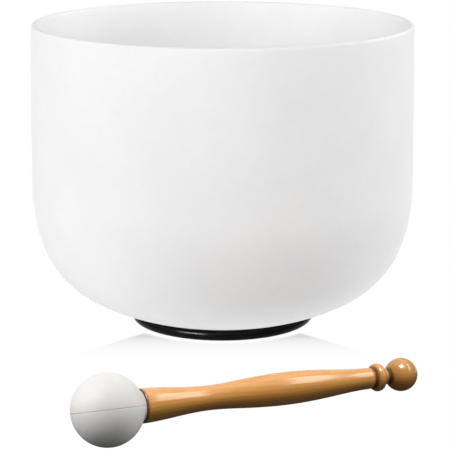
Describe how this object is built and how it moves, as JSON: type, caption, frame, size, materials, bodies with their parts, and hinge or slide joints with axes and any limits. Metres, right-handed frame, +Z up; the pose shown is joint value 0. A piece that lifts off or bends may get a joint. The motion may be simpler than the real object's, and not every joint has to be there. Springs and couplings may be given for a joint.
{
  "type": "singing bowl",
  "caption": "Frosted white quartz singing bowl standing on a black rubber O-ring, with a rubber-ball mallet on a turned wooden handle for striking it or rubbing its rim.",
  "frame": {"origin": "centre of the O-ring's foot, on the table under the middle of the bowl", "axes": "+Z up along the bowl's axis; -Y towards the mallet, which lies in front of the bowl with its wooden tip towards +X"},
  "size_m": [0.3076, 0.5009, 0.2433],
  "materials": {
    "frosted_quartz": "matte",
    "black_rubber": "satin",
    "white_rubber": "matte",
    "varnished_wood": "gloss",
    "steel": "satin"
  },
  "bodies": {
    "base": {"o_ring": "black_rubber"},
    "vessel": {"bowl": "frosted_quartz"},
    "mallet": {"mallet_ball": "white_rubber", "mallet_handle": "varnished_wood", "mallet_screw": "steel"}
  },
  "joints": [
    {"name": "bowl_lift", "type": "slide", "parent": "base", "child": "vessel", "axis": [0, 0, 1], "range_m": [0, 0.1]},
    {"name": "mallet_lift", "type": "slide", "parent": "base", "child": "mallet", "axis": [0, 0, 1], "range_m": [0, 0.3]}
  ]
}
